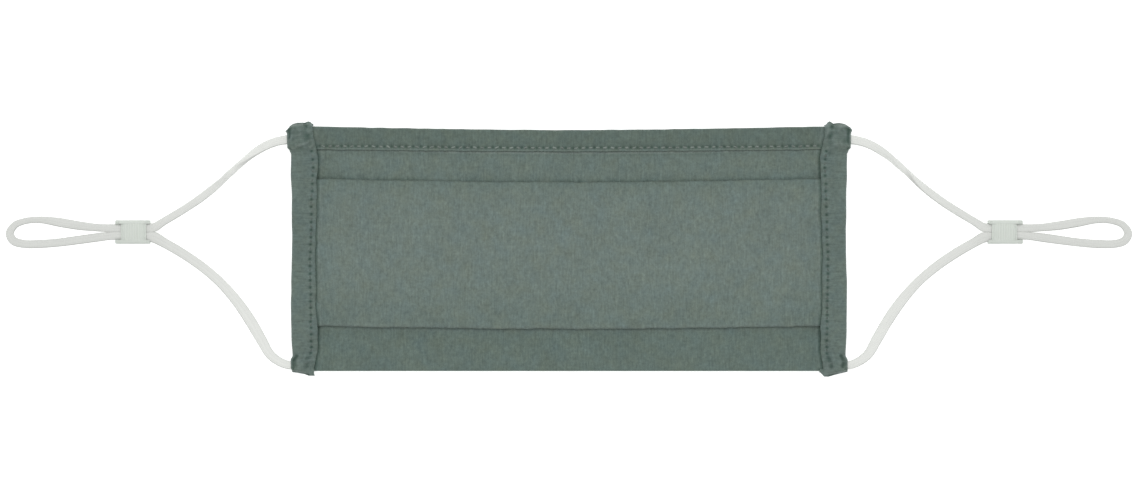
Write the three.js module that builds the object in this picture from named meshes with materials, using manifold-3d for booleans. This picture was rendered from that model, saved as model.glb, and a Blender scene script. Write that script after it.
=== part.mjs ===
// A flat cotton face mask with one box pleat, hems turned to the front and two elastic ear loops,
// each with a ribbed silicone adjuster. It lies on its back with its front face up.
// Millimetres. X runs across the mask, Y towards the nose edge and Z away from the surface.
// The origin is under the middle of the cloth.
import * as THREE from "three";
import { mergeVertices } from "three/addons/utils/BufferGeometryUtils.js";
import Module from "manifold-3d";

const wasm = await Module();
wasm.setup();

// Cloth body
const maskWidth = 200; // between the outer folds of the side hems
const maskHeight = 87.7; // top fold to bottom fold, beside the side hems
const clothWall = 1; // the mask's cotton layers together
const layerGap = 0.3; // between the sheet's own layers where it is folded
const clearance = 0.3; // between neighbouring pieces
const topStrip = 18.3; // top fold to the upper pleat edge
const bottomStrip = 15.9; // lower pleat edge to the bottom fold
const pleatDepth = 12; // how far each pleat tucks under the centre panel
const topSag = 1.4; // how far the top fold dips in the middle of the mask
const upperPleatSag = 1;
const lowerPleatSag = 0.9;
const centreDip = 1.2; // how far the centre panel sinks between its two pleats

// Hems
const topHemHeight = 8.2;
const sideHemWidth = 9.5;
const sideHemOverhang = 1.95; // past the top and bottom folds
const hemBend = 1.5; // outer radius of each turned fold
const pleatLead = 2.6; // length over which a side hem climbs onto a pleat or the top hem
const topBulge = 1.6; // how far the top corners stand out sideways
const bottomBulge = 0.6;
const bottomBlock = 5.3; // height of the thick bottom corners
const bottomNarrowing = 1.2; // how far the inner edge steps out at the bottom
const topOuterSlope = 2.7; // how much lower the top end is at its outer corner
const topInnerSlope = 1.6; // and at its inner edge
const topCornerRoundness = 4; // power of the curve from the top end's ridge to its outer corner
const bottomOuterSlope = 1.4; // how much higher the bottom end is at its outer corner
const ridgeShare = 0.62; // of a side hem's width, from its outer fold to the ridge of its ends
const channelSpare = 0.4; // over the elastic inside a corner

// Ear loops
const elasticWidth = 2.8;
const elasticThickness = 1.3;
const elasticSides = 8;
const topExitDrop = 4.1; // from the top fold to the middle of the upper slit
const bottomExitRise = 2.4; // from the bottom fold to the middle of the lower slit
const strandGap = 0.3; // between the two strands inside an adjuster

// Adjusters
const adjusterLength = 12.4;
const adjusterSideWall = 0.8;
const adjusterFaceWall = 1.3;
const adjusterCorner = 2;
const adjusterReach = 157.3; // from the middle of the mask
const adjusterHeight = 6.2; // above the middle of the mask
const ribCount = 7;
const ribPitch = 1.25;
const ribRelief = 0.25;
const lipLength = 0.9;
const lipChamfer = 0.3;

// The route of one ear loop from the top corner through the adjuster, round the loop and back to
// the bottom corner: distance outwards from the middle of the mask, height and lift.
const loopRoute = [
  { out: 97.5, up: 39.75, lift: 3.25 },
  { out: 102.4, up: 39.7, lift: 3.2 },
  { out: 107.8, up: 38.5, lift: 1.8 },
  { out: 113.8, up: 34.9, lift: 0.78 },
  { out: 120.5, up: 29, lift: 0.7 },
  { out: 127.3, up: 22.8, lift: 0.7 },
  { out: 134, up: 17.6, lift: 0.7 },
  { out: 140.5, up: 13.65, lift: 0.78 },
  { out: 146.3, up: 10, lift: 1.5 },
  { out: 149.6, up: 8.15, lift: 2.12 },
  { out: 152, up: 7.75, lift: 2.25 },
  { out: 162.6, up: 7.75, lift: 2.25 },
  { out: 165.4, up: 7.78, lift: 2.1 },
  { out: 170.6, up: 7.95, lift: 1.15 },
  { out: 177, up: 8.85, lift: 0.7 },
  { out: 184, up: 9.95, lift: 0.7 },
  { out: 190.5, up: 10.5, lift: 0.7 },
  { out: 195.6, up: 10, lift: 0.7 },
  { out: 199.4, up: 8.3, lift: 0.7 },
  { out: 201.4, up: 5.8, lift: 0.7 },
  { out: 200.2, up: 3.5, lift: 0.7 },
  { out: 197, up: 2.05, lift: 0.7 },
  { out: 191.5, up: 1.75, lift: 0.7 },
  { out: 184.5, up: 2.35, lift: 0.7 },
  { out: 177.5, up: 3.35, lift: 0.7 },
  { out: 170.8, up: 4.3, lift: 1.15 },
  { out: 165.4, up: 4.62, lift: 2.1 },
  { out: 162.6, up: 4.65, lift: 2.25 },
  { out: 152, up: 4.65, lift: 2.25 },
  { out: 149.6, up: 4.25, lift: 2.12 },
  { out: 145.8, up: 2.3, lift: 1.4 },
  { out: 139.8, up: -0.9, lift: 0.76 },
  { out: 132.6, up: -5.7, lift: 0.7 },
  { out: 125.9, up: -11.5, lift: 0.7 },
  { out: 120, up: -18.6, lift: 0.7 },
  { out: 115.6, up: -25.6, lift: 0.7 },
  { out: 111.6, up: -32.3, lift: 0.74 },
  { out: 107.6, up: -38.2, lift: 1 },
  { out: 102, up: -41.3, lift: 1.85 },
  { out: 97.5, up: -41.5, lift: 1.95 },
];

// Colours
const clothColour = 0x6d7a74;
const hemColour = 0x64716b;
const elasticColour = 0xdadddb;
const siliconeColour = 0xd2d6d3;

// Worked out from the sizes above
const halfWidth = maskWidth / 2;
const topEdge = maskHeight / 2;
const bottomEdge = -maskHeight / 2;
const upperPleat = topEdge - topStrip;
const lowerPleat = bottomEdge + bottomStrip;
const hemEdge = topEdge - topHemHeight;
const panelEnd = halfWidth - clothWall - clearance;
const layerStep = clothWall + layerGap;
const overOneLayer = clothWall + clearance;
const overPleat = overOneLayer + 2 * layerStep;
const overTopHem = overOneLayer + clothWall + clearance;
const channelHeight = elasticThickness + channelSpare;
const slitWidth = elasticWidth + 2 * clearance;
const slitHeight = elasticThickness + 2 * clearance;
const slotWidth = 2 * elasticWidth + strandGap + 2 * clearance;
const adjusterWidth = slotWidth + 2 * adjusterSideWall;
const adjusterThickness = slitHeight + 2 * adjusterFaceWall;

// Across the mask, from the middle to one end of the sheet: share of its half width, and how much
// of each sag is left there.
const crossSections = [
  { across: 0, sag: 1 },
  { across: 0.18, sag: 0.96 },
  { across: 0.36, sag: 0.82 },
  { across: 0.55, sag: 0.57 },
  { across: 0.76, sag: 0.26 },
  { across: 0.89, sag: 0.05 },
  { across: 1, sag: 0 },
];

// The four folds of the sheet from the nose edge down: the height of the fold's edge, its share of
// sag, the lower of the two layers that it joins, whether its edge points up (1) or down (-1), and
// whether the sheet climbs (1) or drops (-1) there.
const panelFolds = [
  { edge: upperPleat - pleatDepth, sag: upperPleatSag, layer: 0, points: -1, climb: 1 },
  { edge: upperPleat, sag: upperPleatSag, layer: 1, points: 1, climb: 1 },
  { edge: lowerPleat, sag: lowerPleatSag, layer: 1, points: -1, climb: -1 },
  { edge: lowerPleat + pleatDepth, sag: lowerPleatSag, layer: 0, points: 1, climb: -1 },
];
const [upperTuck, , , lowerTuck] = panelFolds;

// The centre panel between its two tucks: share of the way down and share of the dip.
const centreRows = [
  { down: 0, dip: 0 },
  { down: 0.16, dip: 0.5 },
  { down: 0.34, dip: 0.92 },
  { down: 0.5, dip: 1 },
  { down: 0.66, dip: 0.92 },
  { down: 0.84, dip: 0.5 },
  { down: 1, dip: 0 },
];

// Where a turned strip's front layer has points between its outer fold and its inner edge, and
// how much of its height over an elastic's end is left there.
const frontStations = [
  { share: 0.36, height: 1 },
  { share: ridgeShare, height: 0.6 },
  { share: 0.82, height: 0.2 },
];

const mix = THREE.MathUtils.lerp;

// Points on a half circle from angle 0 to pi, with its start at the bottom of a climbing fold.
function foldArc(centreUp, centreLift, radius, points, climb, steps) {
  const arc = [];
  for (let step = 0; step <= steps; step += 1) {
    const angle = (Math.PI * step) / steps;
    arc.push({
      up: centreUp + points * radius * Math.sin(angle),
      lift: centreLift - climb * radius * Math.cos(angle),
    });
  }
  return arc;
}

// The closed outline of the folded sheet at one place across the mask.
function panelOutline(sag) {
  const foldSteps = 6;
  const outerRadius = clothWall + layerGap / 2;
  const innerRadius = layerGap / 2;
  const front = [{ up: topEdge - topSag * sag - overOneLayer, lift: clothWall }];
  const back = [{ up: topEdge - topSag * sag - overOneLayer, lift: 0 }];
  for (const fold of panelFolds) {
    const frontIsOutside = fold.layer === 1;
    const centreUp = fold.edge - fold.sag * sag - fold.points * outerRadius;
    const centreLift = fold.layer * layerStep + clothWall + layerGap / 2;
    const arc = (radius) =>
      foldArc(centreUp, centreLift, radius, fold.points, fold.climb, foldSteps);
    front.push(...arc(frontIsOutside ? outerRadius : innerRadius));
    back.push(...arc(frontIsOutside ? innerRadius : outerRadius));
    if (fold.layer === 1 && fold.climb === 1) {
      for (const row of centreRows) {
        const start = upperTuck.edge - upperTuck.sag * sag;
        const end = lowerTuck.edge - lowerTuck.sag * sag;
        const underside = 2 * layerStep - centreDip * row.dip;
        front.push({ up: mix(start, end, row.down), lift: underside + clothWall });
        back.push({ up: mix(start, end, row.down), lift: underside });
      }
    }
  }
  const round = foldArc(bottomEdge + clothWall / 2, clothWall / 2, clothWall / 2, -1, -1, foldSteps);
  return [...front, ...round, ...back.reverse()];
}

// A strip turned over an edge, seen along that edge: a wall that stands on the surface at the
// outer fold, and a front layer that runs back to its inner edge. Its underside has one lift near
// the fold and another at the inner edge.
function turnedOutline(outer, inner, under, underEdge) {
  const bendSteps = 3;
  const edgeSteps = 4;
  const innerBend = hemBend - clothWall;
  const bendLift = under - innerBend;
  const frontPlaces = frontStations.map(({ share, height }) => ({
    out: mix(outer, inner, share),
    lift: mix(underEdge, under, height),
  }));
  const outline = [
    { out: outer - clothWall, lift: 0 },
    { out: outer, lift: 0 },
  ];
  for (let step = 0; step <= bendSteps; step += 1) {
    const angle = (Math.PI * step) / (2 * bendSteps);
    outline.push({
      out: outer - hemBend + hemBend * Math.cos(angle),
      lift: bendLift + hemBend * Math.sin(angle),
    });
  }
  outline.push(...frontPlaces.map(({ out, lift }) => ({ out, lift: lift + clothWall })));
  for (let step = 0; step <= edgeSteps; step += 1) {
    const angle = Math.PI * (0.5 + step / edgeSteps);
    outline.push({
      out: inner + (clothWall / 2) * (1 + Math.cos(angle)),
      lift: underEdge + (clothWall / 2) * (1 + Math.sin(angle)),
    });
  }
  outline.push(...frontPlaces.reverse());
  for (let step = bendSteps; step >= 0; step -= 1) {
    const angle = (Math.PI * step) / (2 * bendSteps);
    outline.push({
      out: outer - hemBend + innerBend * Math.cos(angle),
      lift: bendLift + innerBend * Math.sin(angle),
    });
  }
  return outline;
}

// Skins a row of closed rings that follow each other along the X or Y axis, and caps both ends.
function loft(rings, axis) {
  const flatten = {
    x: (point) => new THREE.Vector2(point.y, point.z),
    y: (point) => new THREE.Vector2(point.z, point.x),
  }[axis];
  const clockwise = THREE.ShapeUtils.area(rings[0].map(flatten)) < 0;
  const turned = clockwise ? rings.map((ring) => [...ring].reverse()) : rings;
  const ringSize = turned[0].length;
  const lastRow = (turned.length - 1) * ringSize;
  const faces = [];
  for (let row = 0; row < lastRow; row += ringSize) {
    for (let step = 0; step < ringSize; step += 1) {
      const here = row + step;
      const beside = row + ((step + 1) % ringSize);
      faces.push(here, beside, beside + ringSize);
      faces.push(here, beside + ringSize, here + ringSize);
    }
  }
  for (const [a, b, c] of THREE.ShapeUtils.triangulateShape(turned[0].map(flatten), [])) {
    faces.push(c, b, a);
  }
  for (const [a, b, c] of THREE.ShapeUtils.triangulateShape(turned.at(-1).map(flatten), [])) {
    faces.push(lastRow + a, lastRow + b, lastRow + c);
  }
  const geometry = new THREE.BufferGeometry().setFromPoints(turned.flat());
  geometry.setIndex(faces);
  geometry.computeVertexNormals();
  return geometry;
}

// The places across the whole mask, mirrored from the table of one half.
function placesAcross() {
  const right = crossSections.map(({ across, sag }) => ({ x: across * panelEnd, sag }));
  const left = right.slice(1).map(({ x, sag }) => ({ x: -x, sag }));
  return [...left.reverse(), ...right];
}

function panelGeometry() {
  const rings = placesAcross().map(({ x, sag }) =>
    panelOutline(sag).map(({ up, lift }) => new THREE.Vector3(x, up, lift)),
  );
  return loft(rings, "x");
}

function topHemGeometry() {
  const rings = placesAcross().map(({ x, sag }) => {
    const fold = topEdge - topSag * sag;
    return turnedOutline(fold, fold - topHemHeight, overOneLayer, overOneLayer).map(
      ({ out, lift }) => new THREE.Vector3(x, out, lift),
    );
  });
  return loft(rings, "x");
}

// One side hem from its bottom end up. Each row has its height, the lift of its underside near the
// fold and, where that differs, at its inner edge, how far its outer fold bulges, how far its inner
// edge steps outwards, and how far the end slopes at the outer fold and at the inner edge.
function sideHemRows() {
  const plainRow = { bulge: 0, narrowing: 0, outerSlope: 0, innerSlope: 0, roundness: 1 };
  const overBottomElastic = overOneLayer + channelHeight;
  const overTopElastic = overTopHem + channelHeight;
  const bottomEnd = bottomEdge - sideHemOverhang;
  const topEnd = topEdge + sideHemOverhang;
  const blockTop = bottomEdge + bottomBlock;
  const centreRow = ({ down, dip }) => ({
    at: mix(upperTuck.edge, lowerTuck.edge, down),
    under: overPleat - centreDip * dip,
  });
  const rows = [
    {
      at: bottomEnd,
      under: overBottomElastic,
      underEdge: overOneLayer,
      bulge: bottomBulge / 2,
      narrowing: bottomNarrowing,
      outerSlope: bottomOuterSlope,
    },
    {
      at: bottomEnd + bottomOuterSlope + clearance,
      under: overBottomElastic,
      underEdge: overOneLayer,
      bulge: bottomBulge,
      narrowing: bottomNarrowing,
    },
    {
      at: blockTop - hemBend,
      under: overBottomElastic,
      underEdge: overOneLayer,
      bulge: bottomBulge,
      narrowing: bottomNarrowing / 2,
    },
    { at: blockTop + hemBend / 2, under: overOneLayer },
    { at: lowerPleat - pleatLead, under: overOneLayer },
    { at: lowerPleat - clearance, under: overPleat },
    ...centreRows.map(centreRow).reverse(),
    { at: upperPleat + clearance, under: overPleat },
    { at: upperPleat + pleatLead, under: overOneLayer },
    { at: hemEdge - pleatLead, under: overOneLayer },
    {
      at: hemEdge - clearance,
      under: overTopElastic,
      underEdge: overTopHem,
      bulge: topBulge / 4,
    },
    {
      at: hemEdge + clothWall,
      under: overTopElastic,
      underEdge: overTopHem,
      bulge: topBulge,
    },
    {
      at: topEnd - topOuterSlope - clothWall,
      under: overTopElastic,
      underEdge: overTopHem,
      bulge: topBulge,
    },
    {
      at: topEnd,
      under: overTopElastic,
      underEdge: overTopHem,
      bulge: topBulge,
      outerSlope: -topOuterSlope,
      innerSlope: -topInnerSlope,
      roundness: topCornerRoundness,
    },
  ];
  return rows.map((row) => ({ ...plainRow, underEdge: row.under, ...row }));
}

function sideHemRing(side, row) {
  const outer = halfWidth + row.bulge;
  const inner = halfWidth - sideHemWidth + row.narrowing;
  const ridge = mix(outer, inner, ridgeShare);
  return turnedOutline(outer, inner, row.under, row.underEdge).map(({ out, lift }) => {
    const outwards = Math.max(0, (out - ridge) / (outer - ridge));
    const inwards = Math.max(0, (ridge - out) / (ridge - inner));
    const slope = row.outerSlope * outwards ** row.roundness + row.innerSlope * inwards;
    return new THREE.Vector3(side * out, row.at + slope, lift);
  });
}

// The slit in a side hem's outer wall where the elastic goes in.
function slitSolid(side, up, lift) {
  const innerEnd = halfWidth - hemBend - clothWall;
  const outerEnd = halfWidth + topBulge + clothWall;
  const slit = new THREE.BoxGeometry(outerEnd - innerEnd, slitWidth, slitHeight);
  return toSolid(slit.translate((side * (innerEnd + outerEnd)) / 2, up, lift));
}

function sideHemGeometry(side) {
  const hem = toSolid(loft(sideHemRows().map((row) => sideHemRing(side, row)), "y"));
  const topSlit = slitSolid(side, topEdge - topExitDrop, overTopHem + elasticThickness / 2);
  const bottomSlit = slitSolid(side, bottomEdge + bottomExitRise, overOneLayer + elasticThickness / 2);
  return toGeometry(hem.subtract(topSlit).subtract(bottomSlit));
}

function toSolid(geometry) {
  const bare = new THREE.BufferGeometry();
  bare.setAttribute("position", geometry.getAttribute("position"));
  bare.setIndex(geometry.index);
  const merged = mergeVertices(bare);
  return new wasm.Manifold(
    new wasm.Mesh({
      numProp: 3,
      vertProperties: new Float32Array(merged.attributes.position.array),
      triVerts: new Uint32Array(merged.index.array),
    }),
  );
}

function toGeometry(solid) {
  const { vertProperties, triVerts } = solid.getMesh();
  const geometry = new THREE.BufferGeometry();
  geometry.setAttribute("position", new THREE.BufferAttribute(vertProperties, 3));
  geometry.setIndex(new THREE.BufferAttribute(triVerts, 1));
  return geometry;
}

// A smooth curve that is stepped from one of its chosen points to the next, and that keeps the
// thin side of its section upright.
class RouteCurve extends THREE.CatmullRomCurve3 {
  getPointAt(share, target) {
    return this.getPoint(share, target);
  }

  getTangentAt(share, target) {
    return this.getTangent(share, target);
  }

  computeFrenetFrames(steps) {
    const shares = Array.from({ length: steps + 1 }, (_, step) => step / steps);
    const tangents = shares.map((share) => this.getTangent(share));
    const upright = new THREE.Vector3(0, 0, -1);
    const normals = tangents.map((tangent) =>
      upright.clone().addScaledVector(tangent, -upright.dot(tangent)).normalize(),
    );
    const binormals = tangents.map((tangent, step) => tangent.clone().cross(normals[step]));
    return { tangents, normals, binormals };
  }
}

function earLoopGeometry(side) {
  const points = loopRoute.map(({ out, up, lift }) => new THREE.Vector3(side * out, up, lift));
  const section = [];
  for (let corner = 0; corner < elasticSides; corner += 1) {
    const angle = (2 * Math.PI * (corner + 0.5)) / elasticSides;
    const toFlat = 1 / Math.cos(Math.PI / elasticSides);
    section.push(
      new THREE.Vector2(
        (elasticThickness / 2) * toFlat * Math.cos(angle),
        (elasticWidth / 2) * toFlat * Math.sin(angle),
      ),
    );
  }
  return new THREE.ExtrudeGeometry(new THREE.Shape(section), {
    steps: points.length - 1,
    extrudePath: new RouteCurve(points, false, "centripetal"),
  });
}

// A rectangle with rounded corners, across the adjuster.
function roundedRing(x, width, thickness, radius) {
  const cornerSteps = 4;
  const ring = [];
  for (let corner = 0; corner < 4; corner += 1) {
    const signUp = corner === 0 || corner === 3 ? 1 : -1;
    const signLift = corner < 2 ? 1 : -1;
    for (let step = 0; step <= cornerSteps; step += 1) {
      const angle = (Math.PI / 2) * (corner + step / cornerSteps);
      ring.push(
        new THREE.Vector3(
          x,
          signUp * (width / 2 - radius) + radius * Math.cos(angle),
          signLift * (thickness / 2 - radius) + radius * Math.sin(angle),
        ),
      );
    }
  }
  return ring;
}

// The adjuster from one end to the other: place along it and depth below its full size.
function adjusterStations() {
  const halfLength = adjusterLength / 2;
  const lip = [
    { x: -halfLength, depth: lipChamfer },
    { x: -halfLength + lipChamfer, depth: 0 },
    { x: -halfLength + lipLength, depth: 0 },
  ];
  const ribs = [];
  for (let rib = 0; rib < ribCount; rib += 1) {
    const middle = (rib - (ribCount - 1) / 2) * ribPitch;
    ribs.push({ x: middle - ribPitch * 0.4, depth: ribRelief });
    ribs.push({ x: middle - ribPitch * 0.2, depth: 0 });
    ribs.push({ x: middle + ribPitch * 0.2, depth: 0 });
    ribs.push({ x: middle + ribPitch * 0.4, depth: ribRelief });
  }
  const farLip = lip.map(({ x, depth }) => ({ x: -x, depth })).reverse();
  return [...lip, ...ribs, ...farLip];
}

function adjusterGeometry() {
  const rings = adjusterStations().map(({ x, depth }) =>
    roundedRing(
      x,
      adjusterWidth - 2 * depth,
      adjusterThickness - 2 * depth,
      adjusterCorner - depth,
    ),
  );
  const slot = new THREE.BoxGeometry(2 * adjusterLength, slotWidth, slitHeight);
  return toGeometry(toSolid(loft(rings, "x")).subtract(toSolid(slot)));
}

function makeMesh(name, geometry, colour, roughness) {
  const material = new THREE.MeshStandardMaterial({ color: colour, roughness, metalness: 0 });
  const mesh = new THREE.Mesh(geometry, material);
  mesh.name = name;
  return mesh;
}

function makeBody() {
  const body = new THREE.Group();
  body.add(makeMesh("pleated_panel", panelGeometry(), clothColour, 0.95));
  body.add(makeMesh("top_hem", topHemGeometry(), hemColour, 0.95));
  body.add(makeMesh("left_side_hem", sideHemGeometry(-1), hemColour, 0.95));
  body.add(makeMesh("right_side_hem", sideHemGeometry(1), hemColour, 0.95));
  return body;
}

function makeEarLoop(sideName, side) {
  const loop = new THREE.Group();
  loop.add(makeMesh(`${sideName}_ear_loop`, earLoopGeometry(side), elasticColour, 0.85));
  const adjuster = makeMesh(`${sideName}_adjuster`, adjusterGeometry(), siliconeColour, 0.5);
  adjuster.position.set(side * adjusterReach, adjusterHeight, adjusterThickness / 2);
  loop.add(adjuster);
  return loop;
}

const faceMask = new THREE.Group();
faceMask.add(makeBody(), makeEarLoop("left", -1), makeEarLoop("right", 1));

export default faceMask;
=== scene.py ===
import math

import bmesh
import bpy
import numpy as np
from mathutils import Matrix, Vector
from mathutils.bvhtree import BVHTree


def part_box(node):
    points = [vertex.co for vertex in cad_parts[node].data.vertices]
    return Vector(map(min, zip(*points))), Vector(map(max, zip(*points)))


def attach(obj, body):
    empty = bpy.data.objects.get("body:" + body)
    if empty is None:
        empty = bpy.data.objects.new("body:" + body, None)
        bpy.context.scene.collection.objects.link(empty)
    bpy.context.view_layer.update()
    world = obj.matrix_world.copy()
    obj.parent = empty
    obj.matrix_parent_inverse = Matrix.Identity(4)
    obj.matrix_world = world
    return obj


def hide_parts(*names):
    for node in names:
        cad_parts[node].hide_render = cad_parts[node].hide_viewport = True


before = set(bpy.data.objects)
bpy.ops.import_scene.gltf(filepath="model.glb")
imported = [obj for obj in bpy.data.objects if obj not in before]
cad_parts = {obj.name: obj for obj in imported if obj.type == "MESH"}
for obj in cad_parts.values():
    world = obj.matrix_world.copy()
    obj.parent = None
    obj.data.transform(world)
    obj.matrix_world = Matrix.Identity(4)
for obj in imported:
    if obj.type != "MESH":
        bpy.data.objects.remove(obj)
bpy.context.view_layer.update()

# Lengths are in millimetres until a mesh, light or camera is made.
MM = 0.001
TURN = 2 * math.pi

# Camera: straight above the mask, with the photograph's frame
PHOTO_WIDTH = 1142
MM_PER_PIXEL = 0.36036
SENSOR_WIDTH = 36
LENS = 100
FRONT_LIFT = 3
FRAME_CENTRE = (0.72, 0.07)
CLIP_START_M = 0.01

# Square lamps: name, place and size in metres and power in watts. Then the world and the floor.
LAMPS = [
    ("key_light", (-0.1, 0.7, 1.6), 1.3, 13),
    ("fill_light", (0.2, -0.5, 1.7), 1.4, 5),
]
WORLD_STRENGTH = 0.55
FLOOR_HALF_M = 2.5
FLOOR_DROP = 0.05


def corner_pair(node):
    """The lowest and highest corners of a CAD node, in millimetres."""
    low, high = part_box(node)
    return np.array(low) / MM, np.array(high) / MM


panel_low, panel_high = corner_pair("pleated_panel")
hem_high = corner_pair("top_hem")[1]
side_low, side_high = corner_pair("right_side_hem")

# Cloth body: the solids' wall and gap, and the sewn cloth, which is pressed flatter
WALL = 1
LAYER_GAP = 0.3
LAYER_STEP = WALL + LAYER_GAP
PRESS = 0.78
CLOTH = 0.9
HEM_CLOTH = 0.75
TOP_EDGE = hem_high[1] + 0.5
BOTTOM_EDGE = panel_low[1] - 0.22
PANEL_END = panel_high[0] + 0.4
PLEAT_DEPTH = 12
UPPER_PLEAT = 25.5
LOWER_PLEAT = -27.75
UPPER_TUCK = UPPER_PLEAT - PLEAT_DEPTH
LOWER_TUCK = LOWER_PLEAT + PLEAT_DEPTH

# Sag of the lines across the mask, and dip of the centre panel
TOP_SAG = 1.3
HEM_EDGE_SAG = 0.75
UPPER_PLEAT_SAG = 1.3
LOWER_PLEAT_SAG = 1.1
SAG_POWER = 1.5
CENTRE_DIP = 1.2
DIP_POWER = 1.2

# Hems
HEM_HEIGHT = 8.6
HEM_BEND = 1
SIDE_INNER = side_low[0]
SIDE_OUTER = 100
TOP_END = side_high[1]
BOTTOM_END = side_low[1]

# Stitches
STITCH_PITCH = 2.61
SIDE_PITCH_LOW = 2.28
SIDE_PITCH_HIGH = 2.94
HOLE_RADIUS = 0.55
THREAD_RADIUS = 0.34

# Elastic
ELASTIC_THICKNESS = 1.25

# One ear loop: distance outwards, height, lift and width
LOOP_ROUTE = [
    (97.5, 39.6, 2.3, 3.1), (102.4, 39.4, 2.2, 3.2), (107.65, 38.15, 1.4, 3.15),
    (113.75, 34.8, 0.78, 3), (120.55, 29.05, 0.7, 2.9), (127.35, 22.9, 0.7, 2.85),
    (134.05, 17.7, 0.7, 2.9), (140.55, 13.45, 0.78, 2.8), (146.4, 9.9, 1.5, 2.8),
    (149.6, 7.88, 2.12, 3.25), (152, 7.65, 2.25, 3.25), (162.6, 7.6, 2.25, 2.95),
    (165.4, 7.58, 2.1, 2.9), (170.6, 7.85, 1.15, 2.75), (177, 8.55, 0.7, 3.2), (184, 9.7, 0.7, 3.2),
    (190.5, 10.6, 0.7, 2.5), (195.8, 10.3, 0.7, 2.25), (200.1, 8.7, 0.7, 2.5), (201.9, 5.7, 0.7, 3),
    (200.6, 3.1, 0.7, 3.05), (197, 1.95, 0.7, 2.9), (191.5, 1.9, 0.7, 3), (184.5, 2.4, 0.7, 3),
    (177.5, 3.3, 0.7, 3.15), (170.8, 4.2, 1.15, 3.1), (165.4, 4.8, 2.1, 2.85),
    (162.6, 4.93, 2.25, 2.95), (152, 4.6, 2.25, 3.3), (149.55, 4.25, 2.12, 3.9),
    (145.8, 2.2, 1.4, 3.5), (140, -1.2, 0.76, 3.4), (132.85, -6.05, 0.7, 3.4),
    (126.15, -11.75, 0.7, 3.5), (120.05, -18.65, 0.7, 3.75), (115.3, -25.45, 0.7, 4.1),
    (111.35, -32.15, 0.74, 3.85), (107.55, -38.35, 1, 3.4), (102, -41.6, 1.85, 3.1),
    (97.5, -41.8, 1.95, 3),
]

# Seeded waves: seed, lengths across and along the mask, and height. A side's seed comes on top.
STRAIGHT = 1e6
WAVES = {
    "pleat_line": (3, 9, STRAIGHT, 0.1),
    "long_folds": (4, 16, 60, 0.09),
    "short_folds": (5, 6, 24, 0.05),
    "puckers": (6, 30, 5, 0.07),
    "hem_gathers": (7, 3.2, 30, 0.05),
    # The crease wave varies the painted crease shade
    "crease": (8, 5, STRAIGHT, 0.06),
    "top_fold": (22, 12, 1, 0.03),
    "top_edge": (23, 8, 1, 0.05),
    "top_gathers": (24, 2.4, 9, 0.05),
    "top_swell": (25, 9, 5, 0.05),
    "side_fold": (0, 1, 14, 0.05),
    "side_edge": (1, 1, 7, 0.06),
    "side_gathers": (3, 9, 2.6, 0.06),
    "side_blocks": (4, 3.2, 3.2, 1),
    "side_swell": (5, 6, 11, 0.06),
}

# Colours, in sRGB from 0 to 255
PANEL_COLOUR = (109, 122, 116)
# The top hem and casings are the panel's cotton made darker, as painted shade
SHADED_TOP_HEM_COLOUR = (93, 107, 100)
SHADED_CASING_COLOUR = (98.5, 112.6, 107)
TOP_THREAD_COLOUR = (132, 144, 137)
SIDE_THREAD_COLOUR = (104, 117, 111)
ELASTIC_COLOUR = (224, 226, 222)
SILICONE_COLOUR = (210, 216, 209)
FLOOR_COLOUR = (246, 247, 247)
FLOOR_GLOW = 0.5


def linear(colour):
    """A colour given from 0 to 255 in sRGB as linear RGBA."""
    shares = [part / 255 for part in colour]
    return [s / 12.92 if s <= 0.04045 else ((s + 0.055) / 1.055) ** 2.4 for s in shares] + [1]


def smooth(low, high, value):
    share = np.clip((value - low) / (high - low), 0, 1)
    return share * share * (3 - 2 * share)


def eased(value, rows):
    """Rows of a place and a value, joined by soft steps."""
    total = np.full(np.shape(value), float(rows[0][1]))
    for (low, start), (high, end) in zip(rows, rows[1:]):
        total += (end - start) * smooth(low, high, value)
    return total


def joined(value, rows):
    """Rows of a place and a value, joined by straight lines."""
    return np.interp(value, *zip(*rows))


def band(distance, width, power=2):
    """One on a line, and nearly none at twice this width from it."""
    return np.exp(-((distance / width) ** power))


def fade(distance, length):
    """One on a line, and less and less away from it."""
    return np.exp(-np.abs(distance) / length)


def bulged(wave, power):
    """A sine or cosine with fuller shoulders."""
    return np.sign(wave) * np.abs(wave) ** power


def pressed(lift):
    """The lift of cloth that is pressed flatter above its lowest layer."""
    return np.where(lift > WALL, WALL + (lift - WALL) * PRESS, lift)


def ripples(seed, across, along, waves=28):
    """A smooth random field with waves of about these lengths."""
    draw = np.random.default_rng(seed)
    pitch_x = draw.normal(0, 1, waves) / across
    pitch_y = draw.normal(0, 1, waves) / along
    phases = draw.uniform(0, TURN, waves)

    def field(x, y):
        total = np.zeros(np.broadcast(x, y).shape)
        for wave_x, wave_y, phase in zip(pitch_x, pitch_y, phases):
            total += np.sin(TURN * (wave_x * x + wave_y * y) + phase)
        return total * math.sqrt(2 / waves)

    return field


def wave(name, x, y, seed=0):
    own_seed, across, along, height = WAVES[name]
    return height * ripples(seed + own_seed, across, along)(x, y)


# Meshes


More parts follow.
